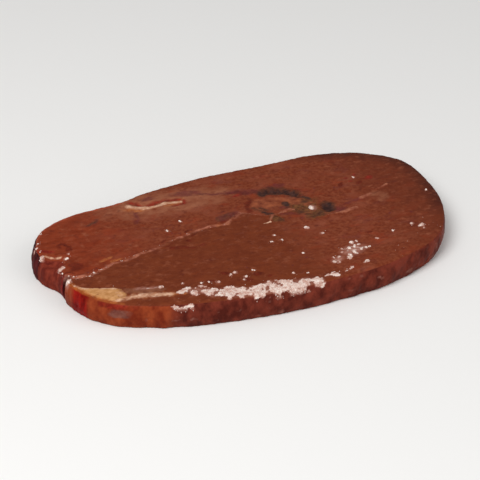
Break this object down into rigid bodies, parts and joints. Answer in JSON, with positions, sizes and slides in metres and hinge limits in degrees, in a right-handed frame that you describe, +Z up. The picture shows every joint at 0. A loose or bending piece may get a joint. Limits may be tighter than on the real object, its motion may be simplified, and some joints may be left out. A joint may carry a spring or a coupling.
{
  "type": "sliced beef liver",
  "caption": "Single frozen slice of liver, sawn flat above and below, with a lobed left end, a seam between two lobes, cut veins and a flat underside to lie on.",
  "frame": {"origin": "middle of the bounding box, on the flat underside", "axes": "+X along the slice from its lobed end to its round end, +Y from the front edge to the back edge, +Z up out of the upper cut"},
  "size_m": [0.1732, 0.096, 0.011],
  "materials": {
    "frozen_liver": "matt saw-cut frozen meat",
    "frost": "loose pinkish white frost"
  },
  "bodies": {
    "root": {"liver_slice": "frozen_liver"}
  },
  "joints": []
}
